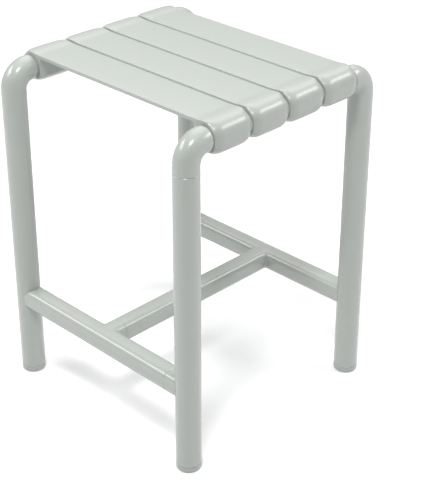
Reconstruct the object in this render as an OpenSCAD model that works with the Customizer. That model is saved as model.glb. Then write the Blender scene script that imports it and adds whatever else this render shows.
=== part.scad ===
// Shower stool: two tube frames, four slats threaded on the top rails, low H-shaped stretcher.
// Origin on the floor under the middle of the seat. Slats run along X, top rails along Y.

/* [Frame] */
// Distance between the leg axes along the slats
leg_span_x = 317; // [280:1:400]
// Distance between the leg axes along the top rails
leg_span_y = 312; // [280:1:400]
// Height of the top rail's axis above the floor
rail_z = 450; // [380:1:520]
// Outside diameter of the plastic tube
tube_d = 33; // [30:0.5:38]
// Centreline radius of the corner bends
bend_r = 24; // [22:1:30]
// Straight part of an elbow below its bend, down to the seam on the leg
skirt_h = 9; // [4:1:30]
// Straight part of an elbow between its bend and the first slat
stub_l = 4.5; // [2:0.5:10]
// Outside diameter of the rail between the elbows, which the slats sit on
rail_d = 30; // [28:0.5:31]

/* [Steel core] */
// Outside diameter of the steel tubes inside the legs and rails
core_d = 24; // [20:0.5:25]
// Wall of the steel tubes
core_wall = 2; // [1.5:0.5:3]
// Length of a corner connector's spigot
spigot_h = 26; // [15:1:40]

/* [Seat] */
// Number of slats
slats = 4; // [3:1:5]
// Gap between two slats
slat_gap = 4.4; // [2:0.1:6]
// Gap between an elbow's end and the slat next to it
elbow_gap = 1.5; // [1:0.5:4]
// Wall of a slat's sleeve around the rail
sleeve_wall = 6; // [5:0.5:7]
// Thickness of a slat's plate
plate_t = 5; // [4:0.5:7]
// How far the flat middle of the seat lies below the tops of the sleeves
dish = 1.2; // [0.4:0.1:4]
// Length of the curve from a sleeve's top down to the flat middle
ramp = 20; // [10:1:60]
// Depth of the stiffening ribs under a slat
rib_h = 6; // [3:1:8]
// Thickness of a stiffening rib
rib_w = 3.5; // [2:0.5:5]
// Distance between the stiffening ribs
rib_pitch = 16; // [12:1:18]

/* [Stretcher] */
// Height of the stretcher's axis above the floor
stretcher_z = 120; // [80:1:200]
// Width of a stretcher bar
bar_w = 29; // [24:0.5:30]
// Height of a stretcher bar
bar_h = 28; // [20:0.5:34]
// Corner radius of a stretcher bar
bar_r = 9; // [4:0.5:12]
// Free length of a socket, from the face it stands on to the bar's end
socket_l = 13; // [10:0.5:30]
// Outside diameter of the steel tube inside a stretcher bar
bar_core_d = 16; // [12:0.5:18]

/* [Feet] */
// Visible height of a foot cap
cap_h = 8; // [5:0.5:15]
// Edge radius of a foot cap
cap_r = 3; // [0.5:0.5:4]
// Length of a foot cap's plug inside the leg
plug_h = 26; // [15:1:40]

/* [Screws] */
// Shank diameter of the countersunk screws
screw_d = 4; // [3:0.5:5]
// Head diameter of the countersunk screws
screw_head_d = 8; // [6:0.5:10]
// Length of the screws that hold the slats
slat_screw_l = 12; // [12:1:14]
// Length of the screws that hold the stretcher's sockets
socket_screw_l = 10; // [10:1:12]

/* [Hidden] */
$fn = 72;

leg_x = leg_span_x / 2;
leg_y = leg_span_y / 2;
tube_r = tube_d / 2;
core_r = core_d / 2;
bore_r = core_r - core_wall;
bend_z = rail_z - bend_r;
seam_z = bend_z - skirt_h;
bend_end_y = leg_y - bend_r;
elbow_end_y = bend_end_y - stub_l;
seat_depth = 2 * (elbow_end_y - elbow_gap);
rail_r = rail_d / 2;
sleeve_r = rail_r + sleeve_wall;
seat_z = rail_z + sleeve_r - dish;
slat_w = (seat_depth - (slats - 1) * slat_gap) / slats;
slat_pitch = slat_w + slat_gap;
socket_end_x = leg_x - tube_r - socket_l;
socket_end_y = leg_y - bar_w / 2 - socket_l;
bar_core_r = bar_core_d / 2;
bar_core_wall = 2;
bar_joint = bar_w / 2 - bar_r + 2;
socket_screw_inset = 6;
screw_sink = 0.3;
screw_land = 0.4;
screw_tip = 0.6;
screw_head_h = (screw_head_d - screw_d) / 2;
key_d = 2.6;
key_h = 1.6;
plug_gap = 0.5;
barbs = 3;
barb_h = 3;
barb_pitch = 7;
tiny = 0.01;

plastic = [0.80, 0.83, 0.80];
plastic_dark = [0.70, 0.73, 0.70];
steel = [0.62, 0.64, 0.66];
stainless = [0.75, 0.76, 0.78];

function slat_y(i) = (i - (slats - 1) / 2) * slat_pitch;

// ---- helpers ----

// Places its children at a leg's axis. The rail leads away from the leg along +Y of the children.
module at_leg(side_x, side_y) {
    translate([side_x * leg_x, side_y * leg_y, 0])
        mirror([0, side_y > 0 ? 1 : 0, 0])
            children();
}

// Quarter bend of a round tube or rod from vertical to the rail's direction, standing on a leg's axis.
module bend(outer_r, inner_r) {
    translate([0, bend_r, bend_z])
        rotate([90, 0, -90])
            rotate_extrude(angle = 90)
                translate([bend_r, 0])
                    difference() {
                        circle(r = outer_r);
                        if (inner_r > 0) circle(r = inner_r);
                    }
}

module pipe(outer_r, inner_r, length) {
    difference() {
        cylinder(r = outer_r, h = length);
        translate([0, 0, -1])
            cylinder(r = inner_r, h = length + 2);
    }
}

// Tube along +Y from y0 to y1 on the rail's axis, measured from a leg's axis.
module rail_pipe(outer_r, inner_r, y0, y1) {
    translate([0, y0, rail_z])
        rotate([-90, 0, 0])
            pipe(outer_r, inner_r, y1 - y0);
}

// Section of a stretcher bar: an upright rectangle with round corners.
module bar_section() {
    square([bar_w - 2 * bar_r, bar_h], center = true);
    square([bar_w, bar_h - 2 * bar_r], center = true);
    for (sx = [-1, 1], sy = [-1, 1])
        translate([sx * (bar_w / 2 - bar_r), sy * (bar_h / 2 - bar_r)])
            circle(r = bar_r);
}

// Solid bar along X from x0 to x1 on the stretcher's height.
module bar_x(x0, x1) {
    translate([x0, 0, stretcher_z])
        rotate([90, 0, 90])
            linear_extrude(x1 - x0)
                bar_section();
}

module rod_x(radius, x0, x1) {
    translate([x0, 0, stretcher_z])
        rotate([0, 90, 0])
            cylinder(r = radius, h = x1 - x0);
}

// Turns parts that run along X so that they run along Y.
module along_y() {
    rotate([0, 0, 90])
        children();
}

// Countersunk screw pointing up, its head's face at z = 0.
module screw(length) {
    difference() {
        rotate_extrude()
            polygon([
                [0, 0], [screw_head_d / 2, 0], [screw_head_d / 2, screw_land],
                [screw_d / 2, screw_land + screw_head_h], [screw_d / 2, length - screw_tip],
                [screw_d / 2 - screw_tip, length], [0, length],
            ]);
        translate([0, 0, -tiny])
            cylinder(d = key_d, h = key_h, $fn = 6);
    }
}

// Hole that the screw fills, with room below its head.
module screw_hole(length) {
    rotate_extrude()
        polygon([
            [0, -5], [screw_head_d / 2, -5], [screw_head_d / 2, screw_land],
            [screw_d / 2, screw_land + screw_head_h], [screw_d / 2, length], [0, length],
        ]);
}

// ---- legs, elbows and rails ----

// Hole through a leg's inner wall for the stretcher's steel tube.
module stretcher_hole(side_x) {
    mirror([side_x > 0 ? 1 : 0, 0, 0])
        rod_x(bar_core_r, 0, tube_r + 2);
}

module straight_leg(side_x, side_y) {
    color(plastic)
        at_leg(side_x, side_y)
            difference() {
                translate([0, 0, cap_h])
                    pipe(tube_r, core_r, seam_z - cap_h);
                stretcher_hole(side_x);
            }
}

module elbow(side_x, side_y) {
    color(plastic)
        at_leg(side_x, side_y) {
            translate([0, 0, seam_z])
                pipe(tube_r, core_r, skirt_h);
            bend(tube_r, core_r);
            rail_pipe(tube_r, core_r, bend_r, leg_y - elbow_end_y);
        }
}

// A leg and its elbow moulded in one piece.
module bent_leg(side_x, side_y) {
    color(plastic)
        at_leg(side_x, side_y) {
            difference() {
                translate([0, 0, cap_h])
                    pipe(tube_r, core_r, bend_z - cap_h);
                stretcher_hole(side_x);
            }
            bend(tube_r, core_r);
            rail_pipe(tube_r, core_r, bend_r, leg_y - elbow_end_y);
        }
}

module slat_screw_places(side_x) {
    for (i = [0 : slats - 1])
        translate([side_x * leg_x, slat_y(i), rail_z - sleeve_r + screw_sink])
            children();
}

module rail_tube(side_x) {
    color(plastic_dark)
        difference() {
            translate([side_x * leg_x, -elbow_end_y, rail_z])
                rotate([-90, 0, 0])
                    pipe(rail_r, core_r, 2 * elbow_end_y);
            slat_screw_places(side_x)
                screw_hole(slat_screw_l);
        }
}

// ---- feet ----

module foot_cap(side_x, side_y) {
    color(plastic_dark)
        translate([side_x * leg_x, side_y * leg_y, 0])
            rotate_extrude()
                union() {
                    translate([0, cap_r])
                        square([tube_r, cap_h - cap_r]);
                    square([tube_r - cap_r, cap_r + tiny]);
                    translate([tube_r - cap_r, cap_r])
                        intersection() {
                            circle(r = cap_r);
                            translate([0, -cap_r])
                                square(cap_r);
                        }
                    translate([0, cap_h - tiny])
                        square([bore_r - plug_gap, plug_h]);
                    for (i = [1 : barbs])
                        translate([0, cap_h + barb_pitch * i - barb_h])
                            square([bore_r, barb_h]);
                }
}

// ---- steel core ----

module leg_core(side_x, side_y) {
    color(steel)
        translate([side_x * leg_x, side_y * leg_y, cap_h])
            pipe(core_r, bore_r, bend_z - cap_h);
}

module corner_connector(side_x, side_y) {
    color(steel)
        at_leg(side_x, side_y) {
            translate([0, 0, bend_z - spigot_h])
                cylinder(r = bore_r, h = spigot_h);
            bend(core_r, 0);
            translate([0, bend_r, rail_z])
                rotate([-90, 0, 0])
                    cylinder(r = bore_r, h = spigot_h);
        }
}

module rail_core(side_x) {
    color(steel)
        difference() {
            translate([side_x * leg_x, -bend_end_y, rail_z])
                rotate([-90, 0, 0])
                    pipe(core_r, bore_r, 2 * bend_end_y);
            slat_screw_places(side_x)
                screw_hole(slat_screw_l);
        }
}

// ---- seat ----

// Top line of the half plate from the flat middle up to the top of the right sleeve:
// two arcs that meet halfway up the ramp.
function ramp_points(steps = 8) =
    let (
        radius = (ramp * ramp + dish * dish) / (4 * dish),
        turn = asin(ramp / 2 / radius)
    )
    concat(
        [for (i = [0 : steps])
            let (a = turn * i / steps)
            [leg_x - ramp + radius * sin(a), seat_z + radius * (1 - cos(a))]],
        [for (i = [1 : steps])
            let (a = turn * (1 - i / steps))
            [leg_x - radius * sin(a), seat_z + dish - radius * (1 - cos(a))]]
    );

module half_plate_section() {
    polygon(concat(
        [[-tiny, seat_z - plate_t], [-tiny, seat_z]],
        ramp_points(),
        [[leg_x, rail_z + rail_r + 2], [leg_x - rail_r - 1, seat_z - plate_t]]
    ));
}

module slat_section() {
    difference() {
        union() {
            half_plate_section();
            mirror([1, 0])
                half_plate_section();
            for (s = [-1, 1])
                translate([s * leg_x, rail_z])
                    circle(r = sleeve_r);
        }
        for (s = [-1, 1])
            translate([s * leg_x, rail_z])
                circle(r = rail_r);
    }
}

module slat(i) {
    rib_x = leg_x - sleeve_r + 1;
    color(plastic)
        translate([0, slat_y(i), 0])
            difference() {
                union() {
                    rotate([90, 0, 0])
                        linear_extrude(slat_w, center = true)
                            slat_section();
                    for (y = [-rib_pitch, 0, rib_pitch])
                        translate([-rib_x, y - rib_w / 2, seat_z - plate_t - rib_h])
                            cube([2 * rib_x, rib_w, rib_h + tiny]);
                }
                for (s = [-1, 1])
                    translate([s * leg_x, 0, rail_z - sleeve_r + screw_sink])
                        screw_hole(slat_screw_l);
            }
}

module slat_screws(side_x) {
    color(stainless)
        slat_screw_places(side_x)
            screw(slat_screw_l);
}

// ---- stretcher ----

// Front bar, built along X at y = 0 and moved to the leg line. The socket's end of it is at +X.
module side_bar() {
    color(plastic)
        difference() {
            bar_x(-leg_x, socket_end_x);
            rod_x(bar_core_r, -leg_x - 1, leg_x);
            translate([-leg_x, 0, 0])
                cylinder(r = tube_r, h = rail_z);
        }
}

module side_socket() {
    color(plastic)
        difference() {
            bar_x(socket_end_x, leg_x);
            rod_x(bar_core_r, 0, leg_x + 1);
            translate([leg_x, 0, 0])
                cylinder(r = tube_r, h = rail_z);
            side_screw_place()
                screw_hole(socket_screw_l);
        }
}

module side_core() {
    color(steel)
        difference() {
            rod_x(bar_core_r, -leg_x, leg_x);
            rod_x(bar_core_r - bar_core_wall, -leg_x - 1, leg_x + 1);
            for (s = [-1, 1])
                translate([s * leg_x, 0, 0])
                    cylinder(r = core_r, h = rail_z);
            side_screw_place()
                screw_hole(socket_screw_l);
        }
}

module side_screw_place() {
    translate([socket_end_x + socket_screw_inset, 0, stretcher_z - bar_h / 2 + screw_sink])
        children();
}

module front_line() {
    translate([0, -leg_y, 0])
        children();
}

// The rear bar is the front bar turned half a turn about the stool's axis.
module rear_line() {
    rotate([0, 0, 180])
        front_line()
            children();
}

// Cuts the middle bar's steel tube out of the front and rear bars.
module middle_core_hole() {
    along_y()
        rod_x(bar_core_r, -leg_y, leg_y);
}

module stretcher_bar_front() {
    color(plastic)
        difference() {
            front_line()
                side_bar();
            middle_core_hole();
        }
}

module stretcher_bar_rear() {
    color(plastic)
        difference() {
            rear_line()
                side_bar();
            middle_core_hole();
        }
}

// Both ends of the middle bar's line are cut to the round edges of the bars that they meet.
module middle_bar() {
    color(plastic)
        difference() {
            along_y()
                bar_x(-socket_end_y, leg_y - bar_joint);
            rear_line()
                bar_x(-bar_w, bar_w);
            middle_core_hole();
        }
}

module middle_screw_place() {
    translate([0, -socket_end_y - socket_screw_inset, stretcher_z - bar_h / 2 + screw_sink])
        children();
}

module middle_socket() {
    color(plastic)
        difference() {
            along_y()
                bar_x(-leg_y + bar_joint, -socket_end_y);
            front_line()
                bar_x(-bar_w, bar_w);
            middle_core_hole();
            middle_screw_place()
                screw_hole(socket_screw_l);
        }
}

module middle_core() {
    color(steel)
        difference() {
            along_y()
                difference() {
                    rod_x(bar_core_r, -leg_y, leg_y);
                    rod_x(bar_core_r - bar_core_wall, -leg_y - 1, leg_y + 1);
                }
            front_line()
                rod_x(bar_core_r, -leg_x, leg_x);
            rear_line()
                rod_x(bar_core_r, -leg_x, leg_x);
            middle_screw_place()
                screw_hole(socket_screw_l);
        }
}

module all_socket_screws() {
    color(stainless) {
        front_line()
            side_screw_place()
                screw(socket_screw_l);
        rear_line()
            side_screw_place()
                screw(socket_screw_l);
        middle_screw_place()
            screw(socket_screw_l);
    }
}

// ---- nodes ----

bent_leg(-1, -1);  // bent_leg_front_left
bent_leg(1, 1);  // bent_leg_rear_right
straight_leg(1, -1);  // straight_leg_front_right
straight_leg(-1, 1);  // straight_leg_rear_left
elbow(1, -1);  // elbow_front_right
elbow(-1, 1);  // elbow_rear_left
rail_tube(-1);  // rail_tube_left
rail_tube(1);  // rail_tube_right
foot_cap(-1, -1);  // foot_cap_front_left
foot_cap(1, -1);  // foot_cap_front_right
foot_cap(-1, 1);  // foot_cap_rear_left
foot_cap(1, 1);  // foot_cap_rear_right
leg_core(-1, -1);  // leg_core_front_left
leg_core(1, -1);  // leg_core_front_right
leg_core(-1, 1);  // leg_core_rear_left
leg_core(1, 1);  // leg_core_rear_right
corner_connector(-1, -1);  // corner_connector_front_left
corner_connector(1, -1);  // corner_connector_front_right
corner_connector(-1, 1);  // corner_connector_rear_left
corner_connector(1, 1);  // corner_connector_rear_right
rail_core(-1);  // rail_core_left
rail_core(1);  // rail_core_right
slat(0);  // seat_slat_1
slat(1);  // seat_slat_2
slat(2);  // seat_slat_3
slat(3);  // seat_slat_4
slat_screws(-1);  // slat_screws_left
slat_screws(1);  // slat_screws_right
stretcher_bar_front();  // stretcher_front
stretcher_bar_rear();  // stretcher_rear
middle_bar();  // stretcher_middle
front_line() side_socket();  // stretcher_socket_front
rear_line() side_socket();  // stretcher_socket_rear
middle_socket();  // stretcher_socket_middle
front_line() side_core();  // stretcher_core_front
rear_line() side_core();  // stretcher_core_rear
middle_core();  // stretcher_core_middle
all_socket_screws();  // socket_screws
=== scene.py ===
"""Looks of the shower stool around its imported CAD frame: satin plastic shells, studio light and camera."""
import math
import bpy
import bmesh
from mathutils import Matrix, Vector


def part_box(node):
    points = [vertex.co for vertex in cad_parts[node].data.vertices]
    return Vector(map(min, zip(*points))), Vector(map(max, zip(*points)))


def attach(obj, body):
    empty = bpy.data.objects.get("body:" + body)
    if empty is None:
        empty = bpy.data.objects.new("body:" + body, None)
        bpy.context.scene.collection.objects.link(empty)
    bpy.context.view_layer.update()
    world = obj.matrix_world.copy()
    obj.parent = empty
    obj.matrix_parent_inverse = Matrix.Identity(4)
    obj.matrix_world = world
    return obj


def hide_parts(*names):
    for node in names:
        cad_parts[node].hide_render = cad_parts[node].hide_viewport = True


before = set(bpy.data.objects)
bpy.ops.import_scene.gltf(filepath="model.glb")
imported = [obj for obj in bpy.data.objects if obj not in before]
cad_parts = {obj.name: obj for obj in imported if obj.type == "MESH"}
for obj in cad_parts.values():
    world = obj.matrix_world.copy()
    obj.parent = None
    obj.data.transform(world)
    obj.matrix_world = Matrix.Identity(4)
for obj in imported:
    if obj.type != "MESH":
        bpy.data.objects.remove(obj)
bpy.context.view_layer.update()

# ---- sizes read from the frame, in metres ----

LEG_LO, LEG_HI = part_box("straight_leg_front_right")
ELBOW_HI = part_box("elbow_front_right")[1]
CORE_LO, CORE_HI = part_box("leg_core_front_right")
RAIL_LO, RAIL_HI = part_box("rail_tube_right")
SLAT_LO, SLAT_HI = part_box("seat_slat_1")
SOCKET_LO, SOCKET_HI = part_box("stretcher_socket_front")
MIDDLE_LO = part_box("stretcher_middle")[0]
BAR_CORE_LO, BAR_CORE_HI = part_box("stretcher_core_front")
CAP_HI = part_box("foot_cap_front_right")[1]

LEG_X = (LEG_LO.x + LEG_HI.x) / 2
LEG_Y = -(LEG_LO.y + LEG_HI.y) / 2
TUBE_R = (LEG_HI.x - LEG_LO.x) / 2
CORE_R = (CORE_HI.x - CORE_LO.x) / 2
CAP_H = LEG_LO.z
SEAM_Z = LEG_HI.z
RAIL_Z = ELBOW_HI.z - TUBE_R
BEND_R = RAIL_Z - CORE_HI.z
ELBOW_END_Y = -ELBOW_HI.y
RAIL_R = (RAIL_HI.x - RAIL_LO.x) / 2
SLEEVE_R = SLAT_HI.z - RAIL_Z
SLAT_W = SLAT_HI.y - SLAT_LO.y
BAR_W = SOCKET_HI.y - SOCKET_LO.y
BAR_H = SOCKET_HI.z - SOCKET_LO.z
BAR_Z = (SOCKET_HI.z + SOCKET_LO.z) / 2
BAR_CORE_R = (BAR_CORE_HI.z - BAR_CORE_LO.z) / 2
SOCKET_X = SOCKET_LO.x
SOCKET_Y = -MIDDLE_LO.y

# ---- shape details that the boxes don't give ----

# seat: how far its flat middle lies below the sleeves' tops, and the length of the curve down to it
DISH = 0.0012
RAMP = 0.020
PLATE_T = 0.005
PLATE_TOP_ROUND = 0.0009
PLATE_UNDER_ROUND = 0.0005
SEAT_Z = RAIL_Z + SLEEVE_R - DISH
UNDER_Z = SEAT_Z - PLATE_T

# ribs under a slat
RIB_H = 0.006
RIB_W = 0.0035
RIB_PITCH = 0.016
RIB_EDGE = 0.0008
RIB_ROOT = 0.001

# sleeves: length along the rail and depth of the rounding at each end, how much slimmer the ends are
# than the middle, how square the outer half is (2 is a circle), and the angle over which the rounding
# sets in from the plate
SLEEVE_ROUND_L = 0.013
SLEEVE_ROUND_D = 0.0048
SLEEVE_BARREL = 0.0004
SLEEVE_POWER = 2.5
SLEEVE_EASE = math.radians(38)
SLEEVE_FILLET = 0.003
BORE_CHAMFER = 0.0004

# tubes and feet. AXIS_R is the hair-fine bore that a turned solid keeps on its axis.
LIP_ROUND = 0.0015
RAIL_CHAMFER = 0.0005
FOOT_ROUND = 0.003
FOOT_HOLLOW = 0.0012
FOOT_HOLLOW_R = 0.0075
FOOT_FLAT_R = 0.0088
PLUG_GAP = 0.0026
PLUG_CHAMFER = 0.001
BARBS = 3
BARB_PITCH = 0.007
BARB_L = 0.003
BARB_H = 0.0005
BARB_STEEP = 0.0002
BARB_SLOPE = 0.0008
AXIS_R = 0.0001

# stretcher: its even rows start ROW_CLEAR from the leg or bar that it ends on
BAR_R = 0.009
SADDLE_BLEND = 0.0035
JOINT_FILLET = 0.004
ROW_CLEAR = 0.006
SOCKET_ROW = 0.004

# a seam between two pieces is a fine groove, this deep and this wide on each side
SEAM_CUT = 0.0005

# how finely meshes are divided
ROUND_STEPS = 6
SLEEVE_STEPS = 10
AROUND = 72
BEND_STEPS = 28
SHARP = math.radians(32)

# noise mostly lies between these two values
NOISE_LOW = 0.3
NOISE_HIGH = 0.7


# ---- mesh helpers ----

def finished_mesh(name, bm, flat=()):
    """Turns a bmesh into a mesh that faces outward, smooth apart from its flat faces and real edges."""
    bmesh.ops.recalc_face_normals(bm, faces=bm.faces)
    for face in bm.faces:
        face.smooth = True
    for face in flat:
        face.smooth = False
    mesh = bpy.data.meshes.new(name)
    bm.to_mesh(mesh)
    bm.free()
    mesh.set_sharp_from_angle(angle=SHARP)
    mesh.update()
    return mesh


def add_piece(name, verts, faces, material, slot, node):
    """Makes one rigid piece that stands for a CAD node."""
    bm = bmesh.new()
    points = [bm.verts.new(v) for v in verts]
    for face in faces:
        bm.faces.new([points[k] for k in face])
    return add_object(name, finished_mesh(name, bm), material, node)


def add_object(name, mesh, material, node):
    """Puts a mesh in the scene as the piece that replaces a CAD node."""
    piece = bpy.data.objects.new(name, mesh)
    bpy.context.scene.collection.objects.link(piece)
    mesh.materials.append(material)
    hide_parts(node)
    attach(piece, "root")
    return piece


def loft(rings):
    """Joins rings of equal length into one closed skin, the last ring back to the first."""
    count = len(rings[0])
    verts = [v for ring in rings for v in ring]
    faces = []
    for i in range(len(rings)):
        a = i * count
        b = (i + 1) % len(rings) * count
        for k in range(count):
            n = (k + 1) % count
            faces.append((a + k, a + n, b + n, b + k))
    return verts, faces


def turns():
    """Angles all round a circle."""
    return [2 * math.pi * k / AROUND for k in range(AROUND)]


def quarter(steps=ROUND_STEPS):
    """Angles of a quarter circle, both ends included."""
    return [math.pi / 2 * k / steps for k in range(steps + 1)]


# ---- legs, elbows, rails ----

def leg_ring(x, y, toward, phi, along, radius):
    """A circle across a leg's centreline. phi goes from 0 on the leg to 90 degrees on the rail.
    along is the height on the leg, and the length past the bend on the rail."""
    normal = Vector((0, -toward * math.cos(phi), math.sin(phi)))
    if phi == 0:
        centre = Vector((x, y, along))
    else:
        centre = Vector((x, y + toward * (BEND_R + along), RAIL_Z - BEND_R)) + BEND_R * normal
    across = Vector((1, 0, 0))
    return [centre + radius * (math.cos(a) * across + math.sin(a) * normal) for a in turns()]


def leg_path(foot_z, stub):
    """(phi, along, cut) up the outside of a leg or elbow, from foot_z over the bend to its stub's end.
    cut is how much smaller the radius is there."""
    first_row = 0.004
    row_height = 0.03
    path = [(0, foot_z, SEAM_CUT), (0, foot_z + SEAM_CUT, 0), (0, foot_z + first_row, 0)]
    straight = RAIL_Z - BEND_R - foot_z
    rows = max(1, round(straight / row_height))
    path += [(0, foot_z + first_row + (straight - first_row) * (k + 1) / rows, 0) for k in range(rows)]
    path += [(math.pi / 2 * k / BEND_STEPS, 0, 0) for k in range(1, BEND_STEPS + 1)]
    path += [(math.pi / 2, stub - LIP_ROUND + LIP_ROUND * math.sin(a), LIP_ROUND * (1 - math.cos(a)))
             for a in quarter()]
    return path


def curved_shell(name, node, side_x, side_y, foot_z):
    """A leg with its elbow, or an elbow alone: a hollow tube that turns into the rail."""
    stub = LEG_Y - BEND_R - ELBOW_END_Y
    x = side_x * LEG_X
    y = side_y * LEG_Y
    toward = -side_y
    path = leg_path(foot_z, stub)
    outer = [leg_ring(x, y, toward, phi, along, TUBE_R - cut) for phi, along, cut in path]
    inner = [leg_ring(x, y, toward, phi, along, CORE_R) for phi, along, cut in reversed(path)]
    return add_piece(name, *loft(outer + inner), NYLON, "nylon", node)


def revolved(x, y, profile):
    """Rings around a leg's axis through (radius, height) points."""
    return [[Vector((x + r * math.cos(a), y + r * math.sin(a), z)) for a in turns()] for r, z in profile]


def straight_shell(name, node, side_x, side_y):
    """The straight tube of a leg that has a separate elbow."""
    rows = 12
    span = SEAM_Z - CAP_H - 2 * SEAM_CUT
    wall = [(TUBE_R, CAP_H + SEAM_CUT + span * k / rows) for k in range(rows + 1)]
    profile = [(CORE_R, SEAM_Z), (CORE_R, CAP_H), (TUBE_R - SEAM_CUT, CAP_H)] + wall
    profile.append((TUBE_R - SEAM_CUT, SEAM_Z))
    rings = revolved(side_x * LEG_X, side_y * LEG_Y, profile)
    return add_piece(name, *loft(rings), NYLON, "nylon", node)


def foot_cap(name, node, side_x, side_y):
    """Cap with a round lower edge, a shallow hollow underneath and a ribbed plug inside the leg."""
    plug_r = CORE_R - PLUG_GAP
    barb_r = plug_r + BARB_H
    profile = [(AXIS_R, FOOT_HOLLOW), (FOOT_HOLLOW_R, FOOT_HOLLOW), (FOOT_FLAT_R, 0.0)]
    for a in quarter():
        profile.append((TUBE_R - FOOT_ROUND * (1 - math.sin(a)), FOOT_ROUND * (1 - math.cos(a))))
    profile += [(TUBE_R, CAP_H - SEAM_CUT), (TUBE_R - SEAM_CUT, CAP_H), (plug_r, CAP_H)]
    for k in range(1, BARBS + 1):
        top = CAP_H + BARB_PITCH * k
        profile += [(plug_r, top - BARB_L), (barb_r, top - BARB_L + BARB_STEEP),
                    (barb_r, top - BARB_SLOPE), (plug_r, top)]
    profile += [(plug_r, CAP_HI.z - PLUG_CHAMFER), (plug_r - PLUG_CHAMFER, CAP_HI.z),
                (AXIS_R, CAP_HI.z)]
    rings = revolved(side_x * LEG_X, side_y * LEG_Y, profile)
    return add_piece(name, *loft(rings), FOOT, "foot_plastic", node)


def rail_ring(side_x, y, r):
    """A circle round a rail's axis."""
    return [Vector((side_x * LEG_X + r * math.cos(a), y, RAIL_Z + r * math.sin(a))) for a in turns()]


def rail_tube(name, node, side_x):
    """The plastic tube between the elbows, which the slats are threaded on."""
    cut = RAIL_CHAMFER
    rows = 8
    profile = [(CORE_R, ELBOW_END_Y), (CORE_R, -ELBOW_END_Y), (RAIL_R - cut, -ELBOW_END_Y),
               (RAIL_R, -ELBOW_END_Y + cut)]
    profile += [(RAIL_R, (ELBOW_END_Y - cut) * (2 * k / rows - 1)) for k in range(1, rows)]
    profile += [(RAIL_R, ELBOW_END_Y - cut), (RAIL_R - cut, ELBOW_END_Y)]
    rings = [rail_ring(side_x, y, r) for r, y in profile]
    return add_piece(name, *loft(rings), NYLON, "nylon", node)


# ---- slats ----

def smooth(t):
    """Eases from 0 to 1 as t goes from 0 to 1."""
    t = min(max(t, 0.0), 1.0)
    return t * t * (3 - 2 * t)


def sleeve_point(a):
    """(x, z, normal x, normal z) of the right sleeve at an angle. Its outer half is slightly square."""
    power = SLEEVE_POWER if math.cos(a) > 0 else 2.0
    c = abs(math.cos(a))
    s = abs(math.sin(a))
    reach = SLEEVE_R / (c ** power + s ** power) ** (1 / power)
    nx = math.copysign(c ** (power - 1), math.cos(a))
    nz = math.copysign(s ** (power - 1), math.sin(a))
    size = math.hypot(nx, nz)
    return LEG_X + reach * math.cos(a), RAIL_Z + reach * math.sin(a), nx / size, nz / size


def ramp_points():
    """(x, z, normal x, normal z, end) from the flat middle up to the right sleeve's top, on two arcs."""
    radius = (RAMP * RAMP + DISH * DISH) / (4 * DISH)
    turn = math.asin(RAMP / 2 / radius)
    steps = 8
    points = []
    for k in range(steps + 1):
        a = turn * k / steps
        points.append((LEG_X - RAMP + radius * math.sin(a), SEAT_Z + radius * (1 - math.cos(a)),
                       -math.sin(a), math.cos(a), 0.0))
    for k in range(steps - 1, -1, -1):
        a = turn * k / steps
        points.append((LEG_X - radius * math.sin(a), SEAT_Z + DISH - radius * (1 - math.cos(a)),
                       -math.sin(a), math.cos(a), 0.0))
    return points


def sleeve_points():
    """(x, z, normal x, normal z, end) round the right sleeve, and along the fillet back to the plate."""
    reach = SLEEVE_R + SLEEVE_FILLET
    fillet_z = UNDER_Z - SLEEVE_FILLET
    tilt = math.asin((fillet_z - RAIL_Z) / reach)
    sweep = math.pi * 3 / 2 - tilt
    steps = 60
    points = []
    for k in range(1, steps + 1):
        turned = sweep * k / steps
        end = smooth(turned / SLEEVE_EASE) * smooth((sweep - turned) / SLEEVE_EASE)
        points.append((*sleeve_point(math.pi / 2 - turned), end))
    fillet_x = LEG_X - reach * math.cos(tilt)
    fillet_steps = 5
    for k in range(1, fillet_steps + 1):
        a = -tilt + (tilt + math.pi / 2) * k / fillet_steps
        points.append((fillet_x + SLEEVE_FILLET * math.cos(a), fillet_z + SLEEVE_FILLET * math.sin(a),
                       -math.cos(a), -math.sin(a), 0.0))
    return points


def slat_outline():
    """(x, z, normal x, normal z, end) round a slat's section: dished plate, and a sleeve at each end.
    end is 0 on the plate and 1 on a sleeve."""
    half = [(0.0, SEAT_Z, 0.0, 1.0, 0.0)] + ramp_points() + sleeve_points()
    half.append((0.0, UNDER_Z, 0.0, -1.0, 0.0))
    mirrored = [(-x, z, -nx, nz, end) for x, z, nx, nz, end in reversed(half[1:-1])]
    return half + mirrored


def slat_edge(side, a, edge, end):
    """(y, cut) on a slat's rounded edge. a goes from 0 on the end face to 90 degrees on the surface.
    cut is how far the surface lies inside the outline, and edge is the rounding on the plate."""
    length = edge + (SLEEVE_ROUND_L - edge) * end
    fall = 1 - math.cos(a)
    full = (fall + math.sin(a) ** 2) / 2
    y = side * (SLAT_W / 2 - length * (1 - math.sin(a)))
    return y, edge * fall + (SLEEVE_ROUND_D * full - edge * fall) * end


def slat_rings(bm, middle):
    """Rings of vertices across a slat. Its edges are nearly sharp on the plate and widely rounded on the
    sleeves, which are slightly barrelled."""
    outline = slat_outline()
    half = SLAT_W / 2
    margin = 0.0005
    flat_half = half - SLEEVE_ROUND_L - margin
    flats = 6
    bends = quarter(SLEEVE_STEPS)
    places = [(-1, a) for a in reversed(bends)]
    places += [(0, 2 * k / flats - 1) for k in range(1, flats)]
    places += [(1, a) for a in bends]
    rings = []
    for side, a in places:
        ring = []
        for x, z, nx, nz, end in outline:
            edge = PLATE_TOP_ROUND if nz > 0 else PLATE_UNDER_ROUND
            y, cut = slat_edge(side, a, edge, end) if side else (a * flat_half, 0.0)
            cut += SLEEVE_BARREL * end * (y / half) ** 2
            ring.append(bm.verts.new((x - nx * cut, middle + y, z - nz * cut)))
        rings.append(ring)
    return rings


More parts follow.
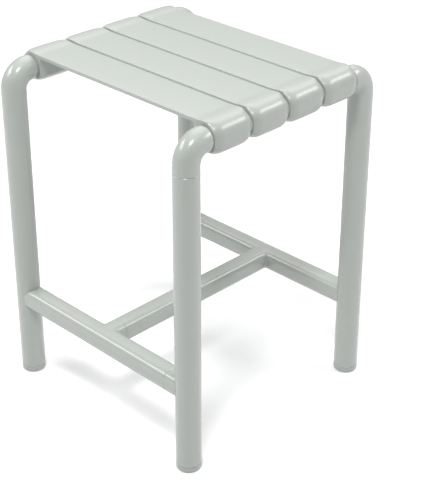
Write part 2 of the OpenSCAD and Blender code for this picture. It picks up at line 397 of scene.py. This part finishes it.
def bore_rings(bm, middle, side_x):
    """Rings of a sleeve's bore, with a fine chamfer at each mouth."""
    half = SLAT_W / 2
    cut = BORE_CHAMFER
    mouth_r = RAIL_R + cut
    rings = []
    for y, r in ((-half, mouth_r), (-half + cut, RAIL_R), (half - cut, RAIL_R), (half, mouth_r)):
        rings.append([bm.verts.new(point) for point in rail_ring(side_x, middle + y, r)])
    return rings


def skin(bm, rings):
    """Faces between rings that follow each other."""
    count = len(rings[0])
    for a, b in zip(rings, rings[1:]):
        for k in range(count):
            n = (k + 1) % count
            bm.faces.new((a[k], a[n], b[n], b[k]))


def end_face(bm, loops):
    """Flat face between an outline and the bores in it."""
    edges = []
    for ring in loops:
        for k in range(len(ring)):
            edges.append(bm.edges.get((ring[k], ring[(k + 1) % len(ring)])))
    made = bmesh.ops.triangle_fill(bm, edges=edges, use_beauty=True, use_dissolve=False,
                                   normal=(0, 1, 0))
    return [g for g in made["geom"] if isinstance(g, bmesh.types.BMFace)]


def slat(name, node):
    """A slat with its two sleeves and three ribs, as one mesh."""
    lo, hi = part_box(node)
    middle = (lo.y + hi.y) / 2
    bm = bmesh.new()
    groups = [slat_rings(bm, middle), bore_rings(bm, middle, -1), bore_rings(bm, middle, 1)]
    for group in groups:
        skin(bm, group)
    caps = end_face(bm, [group[0] for group in groups])
    caps += end_face(bm, [group[-1] for group in groups])
    for rib_y in (-RIB_PITCH, 0, RIB_PITCH):
        add_rib(bm, middle + rib_y)
    return add_object(name, finished_mesh(name, bm, caps), SEAT, node)


def add_rib(bm, y):
    """A stiffening rib under the plate, with round lower edges. Its ends run into the sleeves."""
    reach = LEG_X - SLEEVE_R + RIB_ROOT
    top = UNDER_Z + RIB_ROOT
    low = UNDER_Z - RIB_H
    bevel = RIB_EDGE * 0.3
    w = RIB_W / 2
    section = [(-w, top), (-w, low + RIB_EDGE), (-w + bevel, low + bevel), (-w + RIB_EDGE, low),
               (w - RIB_EDGE, low), (w - bevel, low + bevel), (w, low + RIB_EDGE), (w, top)]
    ends = [[bm.verts.new((x, y + dy, z)) for dy, z in section] for x in (-reach, reach)]
    bm.faces.new(ends[0])
    bm.faces.new(reversed(ends[1]))
    for k in range(len(section)):
        n = (k + 1) % len(section)
        bm.faces.new((ends[0][k], ends[0][n], ends[1][n], ends[1][k]))


# ---- stretcher ----

def corner_point(quad, quarters, radius):
    """(across, up) on one of a bar section's four round corners, at an angle in quarter turns."""
    x = (BAR_W / 2 - BAR_R) * (1 if quad % 4 in (0, 3) else -1)
    z = (BAR_H / 2 - BAR_R) * (1 if quad % 4 in (0, 1) else -1)
    a = math.pi / 2 * quarters
    return x + radius * math.cos(a), z + radius * math.sin(a)


def bar_section(cut=0.0, flare=0.0):
    """(across, up) round a bar's section. cut draws it in all round, and flare widens it sideways."""
    radius = BAR_R - cut
    flat_steps = 3
    round_steps = 9
    points = []
    for quad in range(4):
        for k in range(round_steps + 1):
            points.append(corner_point(quad, quad + k / round_steps, radius))
        start = points[-1]
        end = corner_point(quad + 1, quad + 1, radius)
        for k in range(1, flat_steps):
            t = k / flat_steps
            points.append((start[0] * (1 - t) + end[0] * t, start[1] * (1 - t) + end[1] * t))
    return [(x * (1 + flare / (BAR_W / 2)), z) for x, z in points]


def bore_section():
    """Points of the round hole for the steel tube, one for each point of the bar's section."""
    points = []
    for x, z in bar_section():
        d = math.hypot(x, z)
        points.append((x / d * BAR_CORE_R, z / d * BAR_CORE_R))
    return points


def saddle(across):
    """How far a leg's side lies from its axis, at a distance across from the bar's middle."""
    widest = TUBE_R * 0.995
    return math.sqrt(TUBE_R ** 2 - min(across, widest) ** 2)


def bar_side(up):
    """Half the width of a bar at a height above its middle."""
    past = abs(up) - (BAR_H / 2 - BAR_R)
    if past <= 0:
        return BAR_W / 2
    return BAR_W / 2 - BAR_R + math.sqrt(max(BAR_R ** 2 - past ** 2, 0))


def bar_rings(stations, place):
    """Closed hollow bar. A station is (distance function, cut, flare).
    place turns (along, across, up) into a point."""
    outer = []
    for along, cut, flare in stations:
        outer.append([place(along(u, v), u, v) for u, v in bar_section(cut, flare)])
    first = stations[0][0]
    last = stations[-1][0]
    inner = [[place(last(u, v), u, v) for u, v in bore_section()],
             [place(first(u, v), u, v) for u, v in bore_section()]]
    return outer + inner


def fixed(distance):
    """A flat station, at the same distance all round the section."""
    return lambda u, v: distance


def side_place(sign):
    """Front bar for sign 1, and for -1 the same bar turned half a turn about the stool's axis."""
    return lambda along, across, up: Vector((sign * along, sign * (across - LEG_Y), BAR_Z + up))


def saddle_stations(sign):
    """A bar's end on a leg at sign * LEG_X: a fine groove, a small blend, then the straight bar."""
    steps = 4
    tuck = 0.0002
    rows = [(lambda u, v: sign * (LEG_X - saddle(abs(u)) + tuck), SEAM_CUT, 0.0)]
    for k in range(steps + 1):
        d = SEAM_CUT + SADDLE_BLEND * k / steps
        rows.append((lambda u, v, d=d: sign * (LEG_X - saddle(abs(u)) - d), 0.0, 0.0))
    return rows


def even_rows(start, end):
    """Plain stations at equal steps."""
    rows = 8
    return [(fixed(start + (end - start) * k / rows), 0.0, 0.0) for k in range(rows + 1)]


def side_bar(name, node, sign):
    """From the saddle on the leg at -LEG_X to the seam at the socket."""
    stations = saddle_stations(-1)
    stations += even_rows(-LEG_X + TUBE_R + ROW_CLEAR, SOCKET_X - SEAM_CUT)
    stations.append((fixed(SOCKET_X), SEAM_CUT, 0.0))
    return add_piece(name, *loft(bar_rings(stations, side_place(sign))), NYLON, "nylon", node)


def side_socket(name, node, sign):
    """From the seam to the saddle on the leg at LEG_X."""
    stations = [(fixed(SOCKET_X), SEAM_CUT, 0.0), (fixed(SOCKET_X + SEAM_CUT), 0.0, 0.0),
                (fixed(SOCKET_X + SOCKET_ROW), 0.0, 0.0)]
    stations += reversed(saddle_stations(1))
    return add_piece(name, *loft(bar_rings(stations, side_place(sign))), NYLON, "nylon", node)


def joint_stations(sign):
    """A middle bar's end on a side bar at sign * LEG_Y: flush on top, its sides flaring into a fillet."""
    steps = 5
    rows = []
    for k in range(steps + 1):
        d = JOINT_FILLET * k / steps
        flare = JOINT_FILLET - math.sqrt(max(JOINT_FILLET ** 2 - (JOINT_FILLET - d) ** 2, 0))
        rows.append((lambda u, v, d=d: sign * (LEG_Y - bar_side(v) - d), 0.0, flare))
    return rows


def middle_place(along, across, up):
    """The middle bar runs along Y."""
    return Vector((-across, along, BAR_Z + up))


def middle_bar(name, node):
    """From the seam at the socket to the rear bar."""
    stations = [(fixed(-SOCKET_Y), SEAM_CUT, 0.0)]
    stations += even_rows(-SOCKET_Y + SEAM_CUT, LEG_Y - BAR_W / 2 - ROW_CLEAR)
    stations += reversed(joint_stations(1))
    return add_piece(name, *loft(bar_rings(stations, middle_place)), NYLON, "nylon", node)


def middle_socket(name, node):
    """From the front bar to the seam."""
    stations = joint_stations(-1)
    stations += [(fixed(-SOCKET_Y - SOCKET_ROW), 0.0, 0.0), (fixed(-SOCKET_Y - SEAM_CUT), 0.0, 0.0),
                 (fixed(-SOCKET_Y), SEAM_CUT, 0.0)]
    return add_piece(name, *loft(bar_rings(stations, middle_place)), NYLON, "nylon", node)


# ---- materials ----

def new_material(name):
    """A node material and its shader."""
    material = bpy.data.materials.new(name)
    material.use_nodes = True
    return material, material.node_tree.nodes["Principled BSDF"]


def object_place(tree):
    """Coordinates that stay with a piece."""
    return tree.nodes.new("ShaderNodeTexCoord").outputs["Object"]


def noise(tree, place, scale, detail, rough=0.5):
    """Noise over a piece. scale counts its waves in a metre."""
    node = tree.nodes.new("ShaderNodeTexNoise")
    node.inputs["Scale"].default_value = scale
    node.inputs["Detail"].default_value = detail
    node.inputs["Roughness"].default_value = rough
    tree.links.new(place, node.inputs["Vector"])
    return node.outputs["Fac"]


def spread(tree, value, low, high):
    """Maps noise to a range."""
    node = tree.nodes.new("ShaderNodeMapRange")
    node.inputs["From Min"].default_value = NOISE_LOW
    node.inputs["From Max"].default_value = NOISE_HIGH
    node.inputs["To Min"].default_value = low
    node.inputs["To Max"].default_value = high
    tree.links.new(value, node.inputs["Value"])
    return node.outputs["Result"]


def two_tone(tree, value, dark, light):
    """Turns noise into a colour between two tones."""
    ramp = tree.nodes.new("ShaderNodeValToRGB")
    ramp.color_ramp.elements[0].position = NOISE_LOW
    ramp.color_ramp.elements[0].color = (*dark, 1)
    ramp.color_ramp.elements[1].position = NOISE_HIGH
    ramp.color_ramp.elements[1].color = (*light, 1)
    tree.links.new(value, ramp.inputs["Fac"])
    return ramp.outputs["Color"]


def bumps(tree, layers):
    """Stacks bump nodes. A layer is (height output, depth in metres)."""
    normal = None
    for height, depth in layers:
        node = tree.nodes.new("ShaderNodeBump")
        node.inputs["Strength"].default_value = 1.0
        node.inputs["Distance"].default_value = depth
        tree.links.new(height, node.inputs["Height"])
        if normal:
            tree.links.new(normal, node.inputs["Normal"])
        normal = node.outputs["Normal"]
    return normal


def plastic(name, tone, rough, grain):
    """Satin moulded nylon: a faint cloudy tone, uneven sheen, slow ripples and a fine grain.
    grain is the depth of the fine grain, in metres."""
    material, shader = new_material(name)
    tree = material.node_tree
    place = object_place(tree)
    cloud = noise(tree, place, scale=9, detail=1.5)
    dark = [c * 0.994 for c in tone]
    light = [c * 1.006 for c in tone]
    tree.links.new(two_tone(tree, cloud, dark, light), shader.inputs["Base Color"])
    sheen = noise(tree, place, scale=60, detail=3.0, rough=0.55)
    uneven = spread(tree, sheen, low=rough - 0.015, high=rough + 0.02)
    tree.links.new(uneven, shader.inputs["Roughness"])
    ripple = noise(tree, place, scale=9, detail=1.0)
    ripple_depth = 0.00015
    fine = noise(tree, place, scale=420, detail=2.0, rough=0.6)
    normal = bumps(tree, [(ripple, ripple_depth), (fine, grain)])
    tree.links.new(normal, shader.inputs["Normal"])
    shader.inputs["IOR"].default_value = 1.5
    return material


def steel(name, tone, rough):
    """Plain drawn steel: metallic, with fine streaks."""
    material, shader = new_material(name)
    tree = material.node_tree
    streak = noise(tree, object_place(tree), scale=240, detail=4.0, rough=0.7)
    streak_depth = 0.00002
    dark = [c * 0.9 for c in tone]
    tree.links.new(two_tone(tree, streak, dark, tone), shader.inputs["Base Color"])
    uneven = spread(tree, streak, low=rough - 0.06, high=rough + 0.08)
    tree.links.new(uneven, shader.inputs["Roughness"])
    tree.links.new(bumps(tree, [(streak, streak_depth)]), shader.inputs["Normal"])
    shader.inputs["Metallic"].default_value = 1.0
    return material


NYLON = plastic("satin_nylon", tone=(0.375, 0.399, 0.375), rough=0.25, grain=0.000004)
# SEAT is the same nylon as NYLON; its tone is set a little darker as painted shade, to tone down the strong
# light on the slat tops.
SEAT = plastic("satin_nylon_seat", tone=(0.365, 0.388, 0.365), rough=0.30, grain=0.000003)
FOOT = plastic("matte_foot_plastic", tone=(0.358, 0.381, 0.358), rough=0.32, grain=0.000006)
CORE_STEEL = steel("core_steel", tone=(0.50, 0.51, 0.52), rough=0.38)
SCREW_STEEL = steel("screw_steel", tone=(0.62, 0.63, 0.64), rough=0.28)


# ---- the object ----

def finish_frame_nodes():
    """Steel parts keep their CAD shape and get a steel finish."""
    for name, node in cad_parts.items():
        if "core" in name or "connector" in name:
            finish = CORE_STEEL
        elif "screws" in name:
            finish = SCREW_STEEL
        else:
            continue
        node.data.materials.clear()
        node.data.materials.append(finish)


def build_stool():
    """Every visible piece, in the place of its CAD node."""
    curved_shell("leg_shell_front_left", "bent_leg_front_left", -1, -1, CAP_H)
    curved_shell("leg_shell_rear_right", "bent_leg_rear_right", 1, 1, CAP_H)
    curved_shell("elbow_shell_front_right", "elbow_front_right", 1, -1, SEAM_Z)
    curved_shell("elbow_shell_rear_left", "elbow_rear_left", -1, 1, SEAM_Z)
    straight_shell("leg_shell_front_right", "straight_leg_front_right", 1, -1)
    straight_shell("leg_shell_rear_left", "straight_leg_rear_left", -1, 1)
    for side_x, across in ((-1, "left"), (1, "right")):
        rail_tube("rail_shell_" + across, "rail_tube_" + across, side_x)
        for side_y, depth in ((-1, "front"), (1, "rear")):
            place = depth + "_" + across
            foot_cap("foot_" + place, "foot_cap_" + place, side_x, side_y)
    for k in range(1, 5):
        slat("slat_" + str(k), "seat_slat_" + str(k))
    for sign, depth in ((1, "front"), (-1, "rear")):
        side_bar("bar_" + depth, "stretcher_" + depth, sign)
        side_socket("socket_" + depth, "stretcher_socket_" + depth, sign)
    middle_bar("bar_middle", "stretcher_middle")
    middle_socket("socket_middle", "stretcher_socket_middle")


# ---- stage, light and camera ----

def add_floor():
    """A plain pale floor."""
    mesh = bpy.data.meshes.new("floor")
    size = 8.0
    corners = [(-size, -size, 0), (size, -size, 0), (size, size, 0), (-size, size, 0)]
    mesh.from_pydata(corners, [], [(0, 1, 2, 3)])
    floor = bpy.data.objects.new("floor", mesh)
    bpy.context.scene.collection.objects.link(floor)
    material, shader = new_material("floor_paper")
    shader.inputs["Base Color"].default_value = (0.80, 0.80, 0.803, 1)
    shader.inputs["Roughness"].default_value = 0.9
    shader.inputs["Specular IOR Level"].default_value = 0.1
    shader.inputs["Emission Color"].default_value = (1, 1, 1, 1)
    shader.inputs["Emission Strength"].default_value = 0.14
    material.cycles.emission_sampling = "NONE"
    mesh.materials.append(material)


def add_softbox(name, place, wide, high, power):
    """Rectangular area light at a place, looking at the middle of the stool. Its power is in watts."""
    lamp = bpy.data.lights.new(name, "AREA")
    lamp.shape = "RECTANGLE"
    lamp.size = wide
    lamp.size_y = high
    lamp.energy = power
    holder = bpy.data.objects.new(name, lamp)
    holder.location = place
    back = Vector(place) - Vector((0, 0, RAIL_Z / 2))
    holder.rotation_euler = back.to_track_quat("Z", "Y").to_euler()
    bpy.context.scene.collection.objects.link(holder)


def add_world():
    """Even white light from all round."""
    world = bpy.data.worlds.new("studio")
    world.use_nodes = True
    world.node_tree.nodes["Background"].inputs["Color"].default_value = (1, 1, 1, 1)
    world.node_tree.nodes["Background"].inputs["Strength"].default_value = 0.3
    bpy.context.scene.world = world
    bpy.context.scene.view_settings.view_transform = "Standard"


def add_camera():
    """Looks down on the stool over one corner. The focal length is given in heights of the picture,
    which is taller than it is wide."""
    yaw = math.radians(44.83)
    pitch = math.radians(27.28)
    heights = 2.6
    camera = bpy.data.cameras.new("camera")
    camera.sensor_width = 36.0
    camera.lens = heights * camera.sensor_width
    camera.shift_y = -0.1
    holder = bpy.data.objects.new("camera", camera)
    holder.location = (1.1118, -1.0758, 1.0653)
    holder.rotation_euler = (math.pi / 2 - pitch, 0, yaw)
    bpy.context.scene.collection.objects.link(holder)
    bpy.context.scene.camera = holder


finish_frame_nodes()
build_stool()
add_floor()
add_world()
add_softbox("top_light", place=(0.0, 0.0, 3.2), wide=2.6, high=2.6, power=17)
add_softbox("key_light", place=(0.72, -1.03, 2.6), wide=0.42, high=0.42, power=38)
add_softbox("back_light", place=(-0.9, 1.1, 2.3), wide=2.2, high=2.2, power=23)
add_softbox("softbox_left", place=(-1.42, -1.16, 1.75), wide=1.4, high=0.6, power=27)
add_softbox("softbox_right", place=(1.16, 1.42, 1.75), wide=1.4, high=0.6, power=27)
add_camera()
